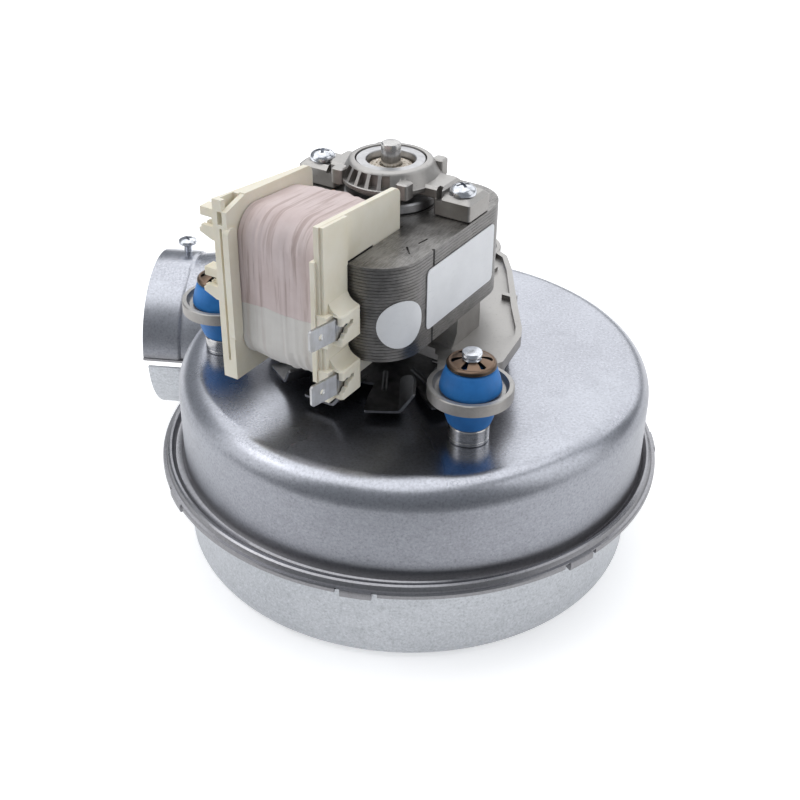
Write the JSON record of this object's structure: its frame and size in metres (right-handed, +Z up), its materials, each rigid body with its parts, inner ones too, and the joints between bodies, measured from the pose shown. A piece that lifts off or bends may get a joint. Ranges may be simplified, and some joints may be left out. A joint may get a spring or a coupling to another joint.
{
  "type": "flue gas fan",
  "caption": "Flue gas fan: shaded-pole motor on rubber isolators over a round volute casing, with a centrifugal wheel, a bottom inlet and a side outlet spigot.",
  "frame": {"origin": "centre of the bounding box on the plane of the casing's base", "axes": "+Z up along the shaft, away from the inlet; -X out of the outlet spigot; +Y towards the spigot's side of the casing"},
  "size_m": [0.1885, 0.1801, 0.1397],
  "materials": {
    "upper_casing": "galvanised sheet with a soft spangle",
    "lower_casing": "galvanised sheet with a soft spangle",
    "spigot_screw": "bright zinc plated",
    "stud_1": "bright zinc plated",
    "spacer_1": "bright zinc plated",
    "grommet_1": "satin",
    "clip_1": "heat-tinted spring steel",
    "stud_2": "bright zinc plated",
    "spacer_2": "bright zinc plated",
    "grommet_2": "satin",
    "clip_2": "heat-tinted spring steel",
    "stud_3": "bright zinc plated",
    "spacer_3": "bright zinc plated",
    "grommet_3": "satin",
    "clip_3": "heat-tinted spring steel",
    "lower_bracket": "die-cast, dull",
    "lower_bearing": "sintered bronze",
    "lower_bearing_retainer": "ground steel",
    "upper_bracket": "die-cast, dull",
    "upper_bearing": "sintered bronze",
    "upper_bearing_retainer": "ground steel",
    "oil_felt": "felt",
    "motor_screw_left": "bright zinc plated",
    "motor_screw_right": "bright zinc plated",
    "stator_core": "stacked electrical steel laminations",
    "coil_bar": "stacked electrical steel laminations",
    "bobbin": "moulded, satin",
    "coil_tape": "wound glass-cloth tape",
    "coil_winding": "bare copper",
    "terminal_lower": "ground steel",
    "terminal_upper": "ground steel",
    "shading_ring_1": "bare copper",
    "shading_ring_2": "bare copper",
    "rating_label": "blank printed-film label",
    "inspection_label": "blank printed-film label",
    "shaft": "ground steel",
    "rotor_core": "stacked electrical steel laminations",
    "rotor_ring_lower": "plain",
    "rotor_ring_upper": "plain",
    "cooling_fan": "plain",
    "wheel_hub": "plain",
    "hub_set_screw": "ground steel",
    "wheel_backplate": "galvanised sheet with a soft spangle",
    "wheel_front_ring": "galvanised sheet with a soft spangle",
    "wheel_blade_1": "galvanised sheet with a soft spangle",
    "wheel_blade_2": "galvanised sheet with a soft spangle",
    "wheel_blade_3": "galvanised sheet with a soft spangle",
    "wheel_blade_4": "galvanised sheet with a soft spangle",
    "wheel_blade_5": "galvanised sheet with a soft spangle",
    "wheel_blade_6": "galvanised sheet with a soft spangle",
    "wheel_blade_7": "galvanised sheet with a soft spangle",
    "wheel_blade_8": "galvanised sheet with a soft spangle",
    "wheel_blade_9": "galvanised sheet with a soft spangle",
    "wheel_blade_10": "galvanised sheet with a soft spangle",
    "wheel_blade_11": "galvanised sheet with a soft spangle",
    "wheel_blade_12": "galvanised sheet with a soft spangle"
  },
  "bodies": {
    "housing": {"upper_casing": "upper_casing", "lower_casing": "lower_casing", "spigot_screw": "spigot_screw", "stud_1": "stud_1", "spacer_1": "spacer_1", "grommet_1": "grommet_1", "clip_1": "clip_1", "stud_2": "stud_2", "spacer_2": "spacer_2", "grommet_2": "grommet_2", "clip_2": "clip_2", "stud_3": "stud_3", "spacer_3": "spacer_3", "grommet_3": "grommet_3", "clip_3": "clip_3", "lower_bracket": "lower_bracket", "lower_bearing": "lower_bearing", "lower_bearing_retainer": "lower_bearing_retainer", "upper_bracket": "upper_bracket", "upper_bearing": "upper_bearing", "upper_bearing_retainer": "upper_bearing_retainer", "oil_felt": "oil_felt", "motor_screw_left": "motor_screw_left", "motor_screw_right": "motor_screw_right", "stator_core": "stator_core", "coil_bar": "coil_bar", "bobbin": "bobbin", "coil_tape": "coil_tape", "coil_winding": "coil_winding", "terminal_lower": "terminal_lower", "terminal_upper": "terminal_upper", "shading_ring_1": "shading_ring_1", "shading_ring_2": "shading_ring_2", "rating_label": "rating_label", "inspection_label": "inspection_label"},
    "rotor": {"shaft": "shaft", "rotor_core": "rotor_core", "rotor_ring_lower": "rotor_ring_lower", "rotor_ring_upper": "rotor_ring_upper", "cooling_fan": "cooling_fan", "wheel_hub": "wheel_hub", "hub_set_screw": "hub_set_screw", "wheel_backplate": "wheel_backplate", "wheel_front_ring": "wheel_front_ring", "wheel_blade_1": "wheel_blade_1", "wheel_blade_2": "wheel_blade_2", "wheel_blade_3": "wheel_blade_3", "wheel_blade_4": "wheel_blade_4", "wheel_blade_5": "wheel_blade_5", "wheel_blade_6": "wheel_blade_6", "wheel_blade_7": "wheel_blade_7", "wheel_blade_8": "wheel_blade_8", "wheel_blade_9": "wheel_blade_9", "wheel_blade_10": "wheel_blade_10", "wheel_blade_11": "wheel_blade_11", "wheel_blade_12": "wheel_blade_12"}
  },
  "joints": [
    {"name": "rotor_spin", "type": "hinge", "parent": "housing", "child": "rotor", "pos_m": [0.00375, -0.00996, 0.1], "axis": [0, 0, 1], "continuous": true}
  ]
}
